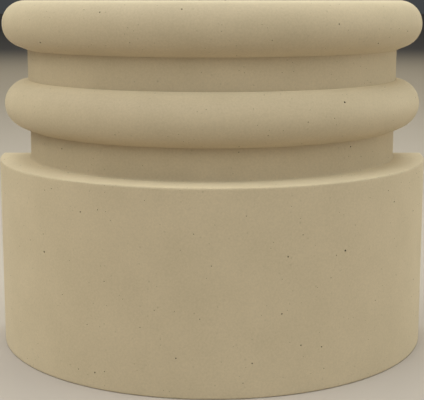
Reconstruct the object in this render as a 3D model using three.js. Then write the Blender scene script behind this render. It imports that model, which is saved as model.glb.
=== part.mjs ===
// Half-round column base in cast stone: a tall plain drum, then two roll mouldings (tori) on
// a plain neck. It is one casting, cut flat down the column's axis.
// Millimetres, +Z up. The round side faces -Y and the flat back faces +Y.
// The origin is the centre of the bounding box at floor level.

import * as THREE from 'three';
import { mergeGeometries, mergeVertices } from 'three/addons/utils/BufferGeometryUtils.js';

// Driving dimensions, radii measured from the column's axis.
const neckRadius = 202.3; // plain band under the lower roll
const neckFlare = 1.0; // the upper band stands this much further out than the lower one
const ledgeWidth = 33.7; // flat ledge from the neck to the drum's face
const drumHeight = 203.5;
const lowerNeckHeight = 32.4; // clear height of the band between ledge and lower roll
const upperNeckHeight = 32.1; // clear height of the band between the two rolls
const rollRadius = 25.0; // radius of the half-round section of both rolls
const rollProjection = 26.7; // how far a roll stands out from the band under it
const ledgeArrisRadius = 1.5; // softened edge between the drum's face and the ledge
const footArrisRadius = 1.5; // softened edge at the foot of the drum
const ledgeRootRadius = 2.0; // small fillet where the neck meets the ledge
const rollFootSlope = 22; // degrees, slope at which the underside of a roll runs into its band
const rollHeadSlope = 12; // degrees, slope at which the top of the lower roll runs into the band above

// Fineness of the faceting.
const roundSegments = 64; // facets round the half circle
const rollStep = 8; // degrees of arc between points on a roll
const smallArcSteps = 3; // steps on an arris or a fillet

const drumRadius = neckRadius + ledgeWidth;

// Points on an arc about (radius, height), from one angle to another in degrees, where
// 0 points outwards and 90 points up.
function arcPoints(centreRadius, centreHeight, arcRadius, fromAngle, toAngle, steps) {
  const points = [];
  for (let step = 0; step <= steps; step += 1) {
    const angle = THREE.MathUtils.degToRad(fromAngle + ((toAngle - fromAngle) * step) / steps);
    const radius = centreRadius + arcRadius * Math.cos(angle);
    const height = centreHeight + arcRadius * Math.sin(angle);
    points.push(new THREE.Vector2(radius, height));
  }
  return points;
}

// Vertical distance from the centre of a roll to the point where its straight root, which
// leaves the round at a tangent, meets the face of a band.
function rootReach(rollCentreRadius, bandRadius, rootSlope) {
  const slope = THREE.MathUtils.degToRad(rootSlope);
  const leavesAtRadius = rollCentreRadius + rollRadius * Math.sin(slope);
  return rollRadius * Math.cos(slope) + (leavesAtRadius - bandRadius) * Math.tan(slope);
}

// Round part of a roll, from where its foot root ends up to a given angle.
function rollPoints(rollCentreRadius, rollCentreHeight, toAngle) {
  const fromAngle = rollFootSlope - 90;
  const steps = Math.round((toAngle - fromAngle) / rollStep);
  return arcPoints(rollCentreRadius, rollCentreHeight, rollRadius, fromAngle, toAngle, steps);
}

// Right-hand profile of the whole base, from the axis at the floor to the axis at the top.
function baseProfile() {
  const upperNeckRadius = neckRadius + neckFlare;
  const lowerRollRadius = neckRadius + rollProjection - rollRadius;
  const upperRollRadius = upperNeckRadius + rollProjection - rollRadius;

  const lowerRollFoot = drumHeight + lowerNeckHeight;
  const lowerRollHeight = lowerRollFoot + rootReach(lowerRollRadius, neckRadius, rollFootSlope);
  const lowerRollHead = lowerRollHeight + rootReach(lowerRollRadius, upperNeckRadius, rollHeadSlope);
  const upperRollFoot = lowerRollHead + upperNeckHeight;
  const upperRollHeight = upperRollFoot + rootReach(upperRollRadius, upperNeckRadius, rollFootSlope);
  const topHeight = upperRollHeight + rollRadius;

  const footArris = arcPoints(
    drumRadius - footArrisRadius, footArrisRadius, footArrisRadius, -90, 0, smallArcSteps,
  );
  const ledgeArris = arcPoints(
    drumRadius - ledgeArrisRadius, drumHeight - ledgeArrisRadius, ledgeArrisRadius, 0, 90, smallArcSteps,
  );
  const ledgeRoot = arcPoints(
    neckRadius + ledgeRootRadius, drumHeight + ledgeRootRadius, ledgeRootRadius, 270, 180, smallArcSteps,
  );
  const lowerRoll = rollPoints(lowerRollRadius, lowerRollHeight, 90 - rollHeadSlope);
  const upperRoll = rollPoints(upperRollRadius, upperRollHeight, 90);

  return [
    new THREE.Vector2(0, 0),
    ...footArris,
    ...ledgeArris,
    ...ledgeRoot,
    new THREE.Vector2(neckRadius, lowerRollFoot),
    ...lowerRoll,
    new THREE.Vector2(upperNeckRadius, lowerRollHead),
    new THREE.Vector2(upperNeckRadius, upperRollFoot),
    ...upperRoll,
    new THREE.Vector2(0, topHeight),
  ];
}

// Round side: the profile turned through a half circle, standing on Z with its front to -Y.
function roundShell(profile) {
  const shell = new THREE.LatheGeometry(profile, roundSegments, -Math.PI / 2, Math.PI);
  shell.rotateX(Math.PI / 2);
  return shell;
}

// Flat back: the profile and its mirror image as one outline in the plane of the axis.
function flatBack(profile) {
  const rightSide = profile.slice(1, -1);
  const leftSide = rightSide.map((point) => new THREE.Vector2(-point.x, point.y)).reverse();
  const foot = profile[0];
  const head = profile[profile.length - 1];
  const back = new THREE.ShapeGeometry(new THREE.Shape([foot, ...rightSide, head, ...leftSide]));
  back.rotateX(Math.PI / 2);
  back.rotateZ(Math.PI);
  return back;
}

// One closed skin from open pieces: shared points are joined, and the triangles that have
// no area because two of their corners meet on the axis are dropped.
function closeSkin(pieces) {
  const skin = mergeGeometries(pieces);
  skin.deleteAttribute('normal');
  skin.deleteAttribute('uv');
  const joined = mergeVertices(skin);
  const corners = joined.getIndex();
  const kept = [];
  for (let face = 0; face < corners.count; face += 3) {
    const a = corners.getX(face);
    const b = corners.getX(face + 1);
    const c = corners.getX(face + 2);
    if (a !== b && b !== c && c !== a) {
      kept.push(a, b, c);
    }
  }
  joined.setIndex(kept);
  joined.computeVertexNormals();
  return joined;
}

const castStone = new THREE.MeshStandardMaterial({
  name: 'cast_stone',
  color: new THREE.Color(0xb9a988),
  roughness: 0.9,
  metalness: 0.0,
});

const profile = baseProfile();
const base = new THREE.Mesh(closeSkin([roundShell(profile), flatBack(profile)]), castStone);
base.name = 'half_round_base';
base.position.y = drumRadius / 2;

const group = new THREE.Group();
group.add(base);

export default group;
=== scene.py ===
import math
import random

import bmesh
import bpy
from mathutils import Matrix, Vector
from mathutils.kdtree import KDTree


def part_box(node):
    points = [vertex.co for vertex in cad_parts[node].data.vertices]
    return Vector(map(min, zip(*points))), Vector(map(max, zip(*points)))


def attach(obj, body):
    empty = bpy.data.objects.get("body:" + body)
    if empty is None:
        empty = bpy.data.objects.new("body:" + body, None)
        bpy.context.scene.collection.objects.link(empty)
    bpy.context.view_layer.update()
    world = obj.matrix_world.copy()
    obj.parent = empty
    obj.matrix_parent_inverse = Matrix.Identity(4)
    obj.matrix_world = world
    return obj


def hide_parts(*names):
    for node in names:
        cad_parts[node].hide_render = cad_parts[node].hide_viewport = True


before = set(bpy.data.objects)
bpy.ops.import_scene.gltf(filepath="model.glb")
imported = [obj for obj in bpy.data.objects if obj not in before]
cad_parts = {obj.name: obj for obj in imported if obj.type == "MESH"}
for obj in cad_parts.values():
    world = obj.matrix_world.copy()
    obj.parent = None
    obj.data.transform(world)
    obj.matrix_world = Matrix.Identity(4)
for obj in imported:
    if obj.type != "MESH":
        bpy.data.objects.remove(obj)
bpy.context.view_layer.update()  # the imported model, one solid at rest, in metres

print("frame loaded:", sorted(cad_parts))

mm = 0.001
touching = 0.01 * mm  # points closer than this are one point


# small helpers

def clearSelection():
    if bpy.context.object and bpy.context.object.mode != "OBJECT":
        bpy.ops.object.mode_set(mode="OBJECT")
    bpy.ops.object.select_all(action="DESELECT")


def openForEdit(piece, kind):
    clearSelection()
    piece.select_set(True)
    bpy.context.view_layer.objects.active = piece
    bpy.ops.object.mode_set(mode="EDIT")
    bpy.ops.mesh.select_mode(type=kind)
    bpy.ops.mesh.select_all(action="DESELECT")


def pickEdges(piece, wanted):
    bpy.ops.mesh.select_mode(type="EDGE")
    bpy.ops.mesh.select_all(action="DESELECT")
    mesh = bmesh.from_edit_mesh(piece.data)
    for edge in mesh.edges:
        if wanted(edge):
            edge.select_set(True)
    bmesh.update_edit_mesh(piece.data)


def pickFaces(piece, wanted):
    bpy.ops.mesh.select_mode(type="FACE")
    bpy.ops.mesh.select_all(action="DESELECT")
    mesh = bmesh.from_edit_mesh(piece.data)
    for face in mesh.faces:
        if wanted(face):
            face.select_set(True)
    bmesh.update_edit_mesh(piece.data)


# the casting

baseLow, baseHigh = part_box("half_round_base")
baseShape = {
    "drumRadius": (baseHigh.x - baseLow.x) / 2,
    "axisY": baseHigh.y,  # the column's axis stands in the middle of the flat back
    "top": baseHigh.z,
    "drumHeight": 203.5 * mm,
    "neckRadius": 202.3 * mm,
    "neckFlare": 1.0 * mm,  # the upper band stands out this much more
    "lowerNeckHeight": 32.4 * mm,
    "upperNeckHeight": 32.1 * mm,
    "rollRadius": 25.0 * mm,
    "rollProjection": 26.7 * mm,
    "rollFootSlope": 22,  # degrees at which the underside of a roll runs into its band
    "rollHeadSlope": 12,  # degrees at which the lower roll's top runs into the band above
    "ledgeArris": 1.5 * mm,
    "footArris": 1.5 * mm,
    "ledgeRoot": 2.0 * mm,
    "backArris": 0.8 * mm,
    "footSteps": 4,
    "arrisSteps": 5,
    "rootSteps": 4,
    "backSteps": 3,
    "cell": 3.0 * mm,  # grid on the round side
    "rollStep": 7,  # degrees
    "slices": 256,
    "rimWidth": 6.0 * mm,  # flat rim on the top and the underside before their coarse grid
    "flatCell": 14.0 * mm,  # grid on the flat faces
    "flatShift": 0.37,  # share of a cell by which that grid stands off the middle
    "smoothAngle": 32,  # degrees
}
faceSlot, pitShadeSlot, cutSlot = 0, 1, 2  # material slots of the round face, the pits (painted near black as painted shade) and the flat faces


class ProfilePen:
    # draws the profile point by point in edit mode, from the last point drawn

    def __init__(self, shape, radius, height):
        self.axisY = shape["axisY"]
        self.cell = shape["cell"]
        self.radius = radius
        self.height = height

    def lineTo(self, radius, height):
        run = radius - self.radius
        rise = height - self.height
        steps = max(1, round(math.hypot(run, rise) / self.cell))
        for step in range(steps):
            bpy.ops.mesh.extrude_region_move(
                TRANSFORM_OT_translate={"value": (run / steps, 0, rise / steps)})
        self.radius = radius
        self.height = height

    def arcTo(self, centreRadius, centreHeight, fromAngle, toAngle, steps):
        # angles in degrees, 0 points outwards and 90 up
        arcRadius = math.hypot(self.radius - centreRadius, self.height - centreHeight)
        bpy.ops.mesh.spin(
            steps=steps, angle=math.radians(toAngle - fromAngle), axis=(0, 1, 0),
            center=(centreRadius, self.axisY, centreHeight))
        self.radius = centreRadius + arcRadius * math.cos(math.radians(toAngle))
        self.height = centreHeight + arcRadius * math.sin(math.radians(toAngle))


def rootReach(rollCentre, band, slope, rollRadius):
    # height from a roll's centre to where its sloped root meets the face of a band
    angle = math.radians(slope)
    leavesAt = rollCentre + rollRadius * math.sin(angle)
    return rollRadius * math.cos(angle) + (leavesAt - band) * math.tan(angle)


def drawProfile(shape):
    drum = shape["drumRadius"]
    lowerBand = shape["neckRadius"]
    upperBand = lowerBand + shape["neckFlare"]
    roll = shape["rollRadius"]
    lowerRoll = lowerBand + shape["rollProjection"] - roll
    upperRoll = upperBand + shape["rollProjection"] - roll
    footSlope = shape["rollFootSlope"]
    headSlope = shape["rollHeadSlope"]
    lowerFoot = shape["drumHeight"] + shape["lowerNeckHeight"]
    lowerMiddle = lowerFoot + rootReach(lowerRoll, lowerBand, footSlope, roll)
    lowerHead = lowerMiddle + rootReach(lowerRoll, upperBand, headSlope, roll)
    upperFoot = lowerHead + shape["upperNeckHeight"]
    upperMiddle = shape["top"] - roll

    # a plane merged to one point is the pen's start, on the underside
    start = drum - shape["footArris"] - shape["rimWidth"]
    bpy.ops.mesh.primitive_plane_add(size=0.01, location=(start, shape["axisY"], 0))
    piece = bpy.context.object
    bpy.ops.object.transform_apply(location=True, rotation=True, scale=True)
    openForEdit(piece, "VERT")
    bpy.ops.mesh.select_all(action="SELECT")
    bpy.ops.mesh.merge(type="CENTER")
    bpy.ops.mesh.select_all(action="SELECT")

    pen = ProfilePen(shape, start, 0)
    foot = shape["footArris"]
    pen.lineTo(drum - foot, 0)
    pen.arcTo(drum - foot, foot, -90, 0, shape["footSteps"])
    arris = shape["ledgeArris"]
    pen.lineTo(drum, shape["drumHeight"] - arris)
    pen.arcTo(drum - arris, shape["drumHeight"] - arris, 0, 90, shape["arrisSteps"])
    root = shape["ledgeRoot"]
    pen.lineTo(lowerBand + root, shape["drumHeight"])
    pen.arcTo(lowerBand + root, shape["drumHeight"] + root, -90, -180, shape["rootSteps"])
    pen.lineTo(lowerBand, lowerFoot)
    drawRoll(pen, lowerRoll, lowerMiddle, shape, 90 - headSlope)
    pen.lineTo(upperBand, lowerHead)
    pen.lineTo(upperBand, upperFoot)
    drawRoll(pen, upperRoll, upperMiddle, shape, 90)
    pen.lineTo(upperRoll - shape["rimWidth"], shape["top"])
    return piece


def drawRoll(pen, centreRadius, centreHeight, shape, toAngle):
    roll = shape["rollRadius"]
    fromAngle = shape["rollFootSlope"] - 90
    angle = math.radians(fromAngle)
    pen.lineTo(centreRadius + roll * math.cos(angle), centreHeight + roll * math.sin(angle))
    steps = round((toAngle - fromAngle) / shape["rollStep"])
    pen.arcTo(centreRadius, centreHeight, fromAngle, toAngle, steps)


def closeShell(piece, shape):
    # turn the profile round to the other side of the back, then fill underside, top and back
    bpy.ops.mesh.select_all(action="SELECT")
    bpy.ops.mesh.spin(
        steps=shape["slices"], angle=math.pi, axis=(0, 0, 1), center=(0, shape["axisY"], 0))
    bpy.ops.mesh.select_all(action="SELECT")
    bpy.ops.mesh.remove_doubles(threshold=touching)
    for height in (0, shape["top"]):
        pickEdges(piece, lambda edge: edge.is_boundary and all(
            abs(vert.co.z - height) < touching for vert in edge.verts) and any(
            vert.co.y < shape["axisY"] - touching for vert in edge.verts))
        bpy.ops.mesh.edge_face_add()
    pickEdges(piece, lambda edge: edge.is_boundary)
    bpy.ops.mesh.edge_face_add()
    bpy.ops.mesh.select_all(action="SELECT")
    bpy.ops.mesh.normals_make_consistent(inside=False)


def isCutFace(face, shape):
    middle = face.calc_center_median()
    low = middle.z < touching
    high = middle.z > shape["top"] - touching
    behind = middle.y > shape["axisY"] - touching
    return low or high or behind


def softenBack(piece, shape):
    # the long edge between the flat back and everything else
    def onRim(edge):
        if len(edge.link_faces) != 2:
            return False
        flat = [face.calc_center_median().y > shape["axisY"] - touching for face in edge.link_faces]
        return flat[0] != flat[1]
    pickEdges(piece, onRim)
    bpy.ops.mesh.bevel(affect="EDGES", offset=shape["backArris"], segments=shape["backSteps"])


def gridFlats(piece, shape):
    # the flat faces are cut into a coarse grid, so that pits can be set in them
    cell = shape["flatCell"]
    wide = round(shape["drumRadius"] * 2 / cell)
    deep = round(shape["drumRadius"] / cell)
    tall = round(shape["top"] / cell)
    cuts = []
    for step in range(1, wide):
        x = -shape["drumRadius"] + (step + shape["flatShift"]) * shape["drumRadius"] * 2 / wide
        cuts.append(((x, 0, 0), (1, 0, 0)))
    for step in range(1, deep):
        y = shape["axisY"] - step * shape["drumRadius"] / deep
        cuts.append(((0, y, 0), (0, 1, 0)))
    for step in range(1, tall):
        z = step * shape["top"] / tall
        cuts.append(((0, 0, z), (0, 0, 1)))
    piece.active_material_index = cutSlot
    for place, direction in cuts:
        bpy.ops.mesh.select_all(action="DESELECT")
        bpy.ops.object.material_slot_select()
        bpy.ops.mesh.bisect(plane_co=place, plane_no=direction, use_fill=False)


def makeBase(shape, faceStone, pitShadeStone, cutStone):
    clearSelection()
    piece = drawProfile(shape)
    piece.name = "cast_stone_base"
    for material in (faceStone, pitShadeStone, cutStone):
        piece.data.materials.append(material)
    closeShell(piece, shape)
    softenBack(piece, shape)
    bigFace = shape["flatCell"] ** 2
    pickFaces(piece, lambda face: isCutFace(face, shape) and face.calc_area() > bigFace)
    piece.active_material_index = cutSlot
    bpy.ops.object.material_slot_assign()
    gridFlats(piece, shape)
    pickFaces(piece, lambda face: isCutFace(face, shape))
    piece.active_material_index = cutSlot
    bpy.ops.object.material_slot_assign()
    print("casting modelled:", len(piece.data.polygons), "faces before the pits")
    return piece


# pinholes in the cast face

pinholes = {
    "seed": 11,
    "wide": {"radius": 1.05 * mm, "depth": 1.3 * mm},
    "middle": {"radius": 0.75 * mm, "depth": 1.0 * mm},
    "fine": {"radius": 0.5 * mm, "depth": 0.8 * mm},
    "faint": {"radius": 0.33 * mm, "depth": 0.45 * mm},
    "scattered": {"wide": 4, "middle": 31, "fine": 88, "faint": 375},  # on the round side
    "clusters": 60,  # pinholes that get a close neighbour
    "clusterReach": (6, 11),  # millimetres to that neighbour
    "onFlats": {"wide": 10, "middle": 34, "fine": 70, "faint": 120},
    "clearance": 4.5 * mm,  # least distance between two of them
    "roundShift": 0.8 * mm,
    "flatShift": 3.0 * mm,
    "leastFlatEdge": 8 * mm,
    "levelFacing": 0.9,  # upward part of the direction past which a face counts as level
    "roundSmoothness": 0.985,  # cosine between a vertex and its faces, so that arrises stay free
    "flatSmoothness": 0.999,
    "openingProfile": 0.086,  # rounds the bevelled vertex outwards, into an even octagon
    "wall": {"inset": 0.12, "depth": 0.55},  # shares of the pinhole's radius and depth
    "floor": {"inset": 0.4, "depth": 0.45},
}


def isPlainVertex(vertex, stone, steepest):
    # in the middle of four quads of one stone, away from arrises and roots
    faces = vertex.link_faces
    if len(faces) != 4 or len(vertex.link_edges) != 4:
        return False
    if any(face.material_index != stone or len(face.verts) != 4 for face in faces):
        return False
    return all(face.normal.dot(vertex.normal) > steepest for face in faces)


def slideVertex(vertex, shape, across, along, most):
    # moves a vertex in its own surface, sideways and up, and never out past the drum's face
    isLevel = abs(vertex.normal.z) > pinholes["levelFacing"]
    guide = Vector((1, 0, 0)) if isLevel else Vector((0, 0, 1))
    sideways = guide.cross(vertex.normal).normalized()
    upwards = sideways.cross(vertex.normal)
    if upwards.z < 0:
        upwards.negate()
    across = max(-most, min(most, across))
    along = max(-most, min(most, along))
    moved = vertex.co + sideways * across + upwards * along
    outward = Vector((moved.x, moved.y - shape["axisY"]))
    if outward.length > shape["drumRadius"]:
        outward *= shape["drumRadius"] / outward.length
    vertex.co = (outward.x, outward.y + shape["axisY"], min(moved.z, shape["top"]))


def farEnough(vertex, chosen, clearance):
    for group in chosen.values():
        for other in group:
            if (other.co - vertex.co).length < clearance:
                return False
    return True


def scatter(verts, counts, shape, chosen, shift):
    clearance = pinholes["clearance"]
    for size, count in counts.items():
        made = 0
        while made < count:
            vertex = random.choice(verts)
            if farEnough(vertex, chosen, clearance):
                across = random.uniform(-shift, shift)
                along = random.uniform(-shift, shift)
                slideVertex(vertex, shape, across, along, shift)
                chosen[size].append(vertex)
                made += 1


def cluster(roundVerts, shape, chosen):
    tree = KDTree(len(roundVerts))
    for index, vertex in enumerate(roundVerts):
        tree.insert(vertex.co, index)
    tree.balance()
    hosts = random.sample(chosen["fine"] + chosen["faint"], pinholes["clusters"])
    for host in hosts:
        reach = random.uniform(*pinholes["clusterReach"]) * mm
        around = [roundVerts[index] for place, index, distance in tree.find_range(host.co, reach)]
        around = [vertex for vertex in around if farEnough(vertex, chosen, pinholes["clearance"])]
        if around:
            chosen["faint"].append(random.choice(around))


def sinkPinholes(piece, shape):
    random.seed(pinholes["seed"])
    openForEdit(piece, "VERT")
    mesh = bmesh.from_edit_mesh(piece.data)
    marks = mesh.verts.layers.int.new("pinhole")
    mesh.normal_update()
    roundVerts = [vertex for vertex in mesh.verts if isPlainVertex(
        vertex, faceSlot, pinholes["roundSmoothness"])]
    flatVerts = [vertex for vertex in mesh.verts if isPlainVertex(
        vertex, cutSlot, pinholes["flatSmoothness"])]
    flatVerts = [vertex for vertex in flatVerts if min(
        edge.calc_length() for edge in vertex.link_edges) > pinholes["leastFlatEdge"]]
    # the cuts leave them in another order on each run, so they are put in order of place
    flatVerts.sort(key=lambda vertex: tuple(round(value / mm, 2) for value in vertex.co))
    sizes = ("wide", "middle", "fine", "faint")
    chosen = {size: [] for size in sizes}
    scatter(roundVerts, pinholes["scattered"], shape, chosen, pinholes["roundShift"])
    cluster(roundVerts, shape, chosen)
    scatter(flatVerts, pinholes["onFlats"], shape, chosen, pinholes["flatShift"])

    for number, size in enumerate(sizes, 1):
        for vertex in chosen[size]:
            vertex[marks] = number
    total = sum(len(group) for group in chosen.values())
    bmesh.update_edit_mesh(piece.data)

    for number, size in enumerate(sizes, 1):
        radius = pinholes[size]["radius"]
        depth = pinholes[size]["depth"]
        bpy.ops.mesh.select_mode(type="VERT")
        bpy.ops.mesh.select_all(action="DESELECT")
        mesh = bmesh.from_edit_mesh(piece.data)
        marks = mesh.verts.layers.int["pinhole"]
        for vertex in mesh.verts:
            if vertex[marks] == number and len(vertex.link_edges) == 4:
                vertex.select_set(True)
        bmesh.update_edit_mesh(piece.data)
        bpy.ops.mesh.bevel(
            affect="VERTICES", offset=radius, segments=2, profile=pinholes["openingProfile"])
        # the pinholes' faces take the near-black stone: painted shade inside the recesses
        piece.active_material_index = pitShadeSlot
        bpy.ops.object.material_slot_assign()
        for part in ("wall", "floor"):
            share = pinholes[part]
            bpy.ops.mesh.inset(thickness=radius * share["inset"], depth=-depth * share["depth"])
        mesh = bmesh.from_edit_mesh(piece.data)
        marks = mesh.verts.layers.int["pinhole"]
        for vertex in mesh.verts:
            if vertex[marks] == number:
                vertex[marks] = 0
        bmesh.update_edit_mesh(piece.data)
    bpy.ops.object.mode_set(mode="OBJECT")
    print("pinholes sunk:", total)


# stone materials, all on object coordinates

stoneMix = {  # the same in every finish; pairs are where a shade starts and where it is full
    "noiseRoughness": 0.55,
    "mottleRange": (0.32, 0.68),
    "grainRange": (0.3, 0.7),
    "dirt": (0.12, 0.09, 0.05, 1),
    "speckReach": (0.10, 0.22),
    "speckRarity": (0.80, 0.92),
    "smudgeReach": (0.02, 0.17),
    "smudgeRarity": (0.15, 1.0),
    "smudgeGroupScale": 24,
    "smudgeGroupRange": (0.42, 0.62),
    "betweenGroups": 0.15,  # share of a smudge left between the groups
    "wornRange": (0.52, 0.62),  # of the edges' pointiness
    "wornColour": (0.72, 0.66, 0.52, 1),
    # painted top light: where a pale warm tint on upward faces starts and is full, its patches and
    # its colour
    "topLightFacing": (0.86, 0.99),  # upward part of the surface's direction
    "topLightCloudScale": 45,
    "topLightCloudRange": (0.25, 0.75),
    "thinTopLight": 0.7,
    "topLightColour": (0.83, 0.70, 0.46, 1),
    "bumpDepth": 0.4 * mm,
    "diffuseRoughness": 1.0,  # a sandy surface, bright up to its edges
    "specular": 0.5,
}
faceLook = {
    "dark": (0.614, 0.504, 0.330),
    "light": (0.651, 0.535, 0.355),
    "mottleScale": 22,
    "grain": 0.022,
    "grainScale": 520,
    "specks": 0.14,
    "speckScale": 330,
    "smudges": 0.30,
    "smudgeScale": 120,
    "wear": 0.05,
    # strength of the painted warm top light on upward faces
    "topLight": 0.16,
    "roughLow": 0.60,
    "roughHigh": 0.74,
    "bump": 0.12,
    "bumpScale": 480,
}
# the pinholes' insides painted near black: painted shade in the recesses, on top of the shade their
# depth gives
pitShadeLook = dict(
    faceLook, dark=(0.11, 0.085, 0.05), light=(0.15, 0.12, 0.075), specks=0.0, smudges=0.0,
    wear=0.0, topLight=0.0)
cutLook = dict(
    faceLook, dark=(0.572, 0.466, 0.303), light=(0.642, 0.528, 0.348), mottleScale=9, grain=0.05,
    specks=0.2, bump=0.3, bumpScale=260, roughLow=0.78, roughHigh=0.9)


def addNode(tree, kind, place, **settings):
    node = tree.nodes.new(kind)
    node.location = place
    for name, value in settings.items():
        if hasattr(node, name):
            setattr(node, name, value)
        else:
            node.inputs[name].default_value = value
    return node


def mixNode(tree, place, blend, amount, first, second):
    # amount, first and second are sockets or plain values
    node = tree.nodes.new("ShaderNodeMix")
    node.location = place
    node.data_type = "RGBA"
    node.blend_type = blend
    for number, value in ((0, amount), (6, first), (7, second)):
        if isinstance(value, bpy.types.NodeSocket):
            tree.links.new(value, node.inputs[number])
        else:
            node.inputs[number].default_value = value
    return node.outputs[2]


def rampNode(tree, place, source, ends, shades):
    # grey of the first shade up to the first end, and of the second from the second end on
    node = tree.nodes.new("ShaderNodeValToRGB")
    node.location = place
    for element, position, shade in zip(node.color_ramp.elements, ends, shades):
        element.position = position
        element.color = (shade, shade, shade, 1)
    tree.links.new(source, node.inputs["Fac"])
    return node.outputs["Color"]


def castStone(name, look):
    mix = stoneMix
    material = bpy.data.materials.new(name)
    material.use_nodes = True
    tree = material.node_tree
    shader = tree.nodes["Principled BSDF"]
    place = addNode(tree, "ShaderNodeTexCoord", (-1700, 0)).outputs["Object"]

    def noise(spot, scale, detail):
        node = addNode(
            tree, "ShaderNodeTexNoise", spot, Scale=scale, Detail=detail,
            Roughness=mix["noiseRoughness"])
        tree.links.new(place, node.inputs["Vector"])
        return node.outputs["Fac"]

    def spots(spot, scale, reach, rarity, strength):
        # soft round spots of uneven strength
        x, y = spot
        cells = addNode(tree, "ShaderNodeTexVoronoi", spot, Scale=scale)
        tree.links.new(place, cells.inputs["Vector"])
        near = rampNode(tree, (x + 250, y), cells.outputs["Distance"], reach, (1, 0))
        split = addNode(tree, "ShaderNodeSeparateColor", (x + 250, y - 200))
        tree.links.new(cells.outputs["Color"], split.inputs["Color"])
        rare = rampNode(tree, (x + 500, y - 200), split.outputs["Red"], rarity, (0, strength))
        return mixNode(tree, (x + 750, y), "MULTIPLY", 1.0, near, rare)

    # broad mottling between two shades of the mix
    broad = noise((-1450, 300), look["mottleScale"], detail=3)
    mottle = rampNode(tree, (-1200, 300), broad, mix["mottleRange"], (0, 1))
    colour = mixNode(tree, (-900, 300), "MIX", mottle, (*look["dark"], 1), (*look["light"], 1))

    # fine sand grain
    grainSource = noise((-1450, 0), look["grainScale"], detail=2)
    darkest = (1 - look["grain"] * 2) / (1 + look["grain"] * 2)
    grain = rampNode(tree, (-1200, 0), grainSource, mix["grainRange"], (darkest, 1))
    colour = mixNode(tree, (-700, 300), "MULTIPLY", 1.0, colour, grain)

    # a dark sand grain here and there
    grains = spots(
        (-1450, -300), look["speckScale"], mix["speckReach"], mix["speckRarity"], look["specks"])
    colour = mixNode(tree, (-450, 200), "MIX", grains, colour, mix["dirt"])

    # faint soft smudges, in loose groups
    smudges = spots(
        (-1450, -800), look["smudgeScale"], mix["smudgeReach"], mix["smudgeRarity"], look["smudges"])
    gathered = noise((-1450, -1100), mix["smudgeGroupScale"], detail=2)
    groups = rampNode(
        tree, (-900, -1100), gathered, mix["smudgeGroupRange"], (mix["betweenGroups"], 1))
    smudges = mixNode(tree, (-600, -900), "MULTIPLY", 1.0, smudges, groups)
    colour = mixNode(tree, (-350, 250), "MIX", smudges, colour, mix["dirt"])

    # arrises rubbed a little lighter
    if look["wear"]:
        geometry = addNode(tree, "ShaderNodeNewGeometry", (-1450, 600))
        worn = rampNode(
            tree, (-1200, 600), geometry.outputs["Pointiness"], mix["wornRange"], (0, look["wear"]))
        colour = mixNode(tree, (-250, 300), "MIX", worn, colour, mix["wornColour"])

    # painted light: a pale warm tint on what faces up, in soft patches, standing in for light from
    # above
    if look["topLight"]:
        facing = addNode(tree, "ShaderNodeNewGeometry", (-1450, 900))
        parts = addNode(tree, "ShaderNodeSeparateXYZ", (-1300, 900))
        tree.links.new(facing.outputs["Normal"], parts.inputs["Vector"])
        level = rampNode(
            tree, (-1100, 900), parts.outputs["Z"], mix["topLightFacing"], (0, look["topLight"]))
        drift = noise((-1450, 1150), mix["topLightCloudScale"], detail=3)
        cloud = rampNode(
            tree, (-1100, 1150), drift, mix["topLightCloudRange"], (mix["thinTopLight"], 1))
        paintedTopLight = mixNode(tree, (-800, 900), "MULTIPLY", 1.0, level, cloud)
        colour = mixNode(tree, (-100, 400), "MIX", paintedTopLight, colour, mix["topLightColour"])
    tree.links.new(colour, shader.inputs["Base Color"])

    rough = addNode(tree, "ShaderNodeMapRange", (-450, -100))
    rough.inputs["To Min"].default_value = look["roughHigh"]
    rough.inputs["To Max"].default_value = look["roughLow"]
    tree.links.new(grainSource, rough.inputs["Value"])
    tree.links.new(rough.outputs["Result"], shader.inputs["Roughness"])

    bump = addNode(
        tree, "ShaderNodeBump", (-450, -400), Strength=look["bump"], Distance=mix["bumpDepth"])
    tree.links.new(noise((-700, -550), look["bumpScale"], detail=3), bump.inputs["Height"])
    tree.links.new(bump.outputs["Normal"], shader.inputs["Normal"])
    shader.inputs["Diffuse Roughness"].default_value = mix["diffuseRoughness"]
    shader.inputs["Specular IOR Level"].default_value = mix["specular"]
    return material


faceStone = castStone("cast_stone_face", faceLook)
pitShadeStone = castStone("cast_stone_pinhole_shade", pitShadeLook)
cutStone = castStone("cast_stone_back", cutLook)
print("stone materials made")

base = makeBase(baseShape, faceStone, pitShadeStone, cutStone)
sinkPinholes(base, baseShape)
bpy.ops.object.shade_smooth_by_angle(angle=math.radians(baseShape["smoothAngle"]))
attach(base, "root")
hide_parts("half_round_base")
print("base finished:", len(base.data.polygons), "faces")


# floor, light and camera

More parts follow.
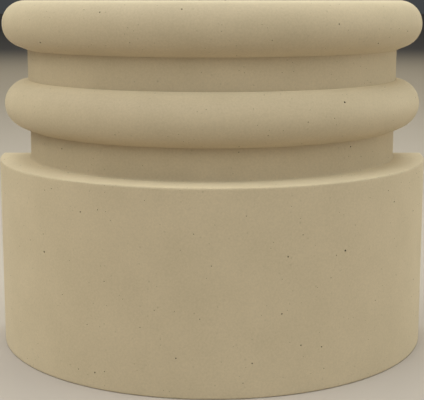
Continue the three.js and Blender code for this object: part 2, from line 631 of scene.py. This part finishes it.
studio = {
    "floorSize": 60,
    "floorGap": 0.2 * mm,  # the floor lies this much under the casting
    "floorRoughness": 0.9,
    "floorColour": (0.49, 0.43, 0.37),
    "air": (0.055, 0.058, 0.060),  # even light from all round
    "softboxes": [  # name, watts, colour, width and depth, place; all aimed at the casting
        ("top_softbox", 34, "plain", (2.4, 2.4), (0, 0.1, 2.2)),
        ("overhead_left_softbox", 12, "warm", (1.0, 1.0), (-1.5, -0.2, 2.0)),
        ("overhead_right_softbox", 4, "warm", (1.0, 1.0), (1.5, -0.2, 2.0)),
        ("right_softbox", 51, "plain", (2.4, 3.2), (4.4, -1.2, 1.6)),
        ("low_rear_softbox", 33, "amber", (2.0, 2.0), (4.0, 1.4, 1.0)),
        ("far_front_softbox", 78, "plain", (3.2, 3.2), (0, -4.9, 3.6)),
        ("far_left_softbox", 82, "plain", (3.2, 3.2), (-3.5, -3.5, 3.6)),
        ("far_high_softbox", 44, "cool", (3.2, 3.2), (0, -2.8, 5.5)),
        ("far_rear_softbox", 82, "amber", (3.2, 3.2), (0, 4.9, 3.6)),
    ],
    "plain": (0.945, 1.0, 0.97),
    "cool": (0.92, 1.0, 1.2),
    "warm": (1.07, 1.0, 0.88),
    "amber": (1.06, 1.0, 0.76),
    "aim": (0, 0, 0.2),
}


def makeFloor():
    clearSelection()
    bpy.ops.mesh.primitive_plane_add(size=studio["floorSize"], location=(0, 0, -studio["floorGap"]))
    floor = bpy.context.object
    floor.name = "studio_floor"
    material = bpy.data.materials.new("studio_floor_paint")
    material.use_nodes = True
    shader = material.node_tree.nodes["Principled BSDF"]
    shader.inputs["Roughness"].default_value = studio["floorRoughness"]
    shader.inputs["Base Color"].default_value = (*studio["floorColour"], 1)
    floor.data.materials.append(material)


def makeSoftbox(name, watts, colour, size, place):
    clearSelection()
    turn = (Vector(studio["aim"]) - Vector(place)).to_track_quat("-Z", "Y").to_euler()
    bpy.ops.object.light_add(type="AREA", location=place, rotation=turn)
    lamp = bpy.context.object
    lamp.name = name
    lamp.data.shape = "RECTANGLE"
    lamp.data.size = size[0]
    lamp.data.size_y = size[1]
    lamp.data.energy = watts
    lamp.data.color = studio[colour]


def makeLight():
    world = bpy.data.worlds.new("studio_air")
    bpy.context.scene.world = world
    world.use_nodes = True
    air = world.node_tree.nodes["Background"]
    air.inputs["Color"].default_value = (*studio["air"], 1)
    air.inputs["Strength"].default_value = 1.0
    for name, watts, colour, size, place in studio["softboxes"]:
        makeSoftbox(name, watts, colour, size, place)


makeFloor()
makeLight()
print("floor and light set")

photoCamera = {
    "place": (0, -1.0855, 0.3736),
    "pitch": 80.67,  # degrees from straight down
    "lens": 90.9,  # millimetres, on a 36 mm sensor
    "shiftY": -0.0553,
}

clearSelection()
bpy.ops.object.camera_add(
    location=photoCamera["place"], rotation=(math.radians(photoCamera["pitch"]), 0, 0))
camera = bpy.context.object
camera.name = "photo_camera"
camera.data.lens = photoCamera["lens"]
camera.data.shift_y = photoCamera["shiftY"]
bpy.context.scene.camera = camera
bpy.context.scene.view_settings.view_transform = "Standard"
print("camera set")
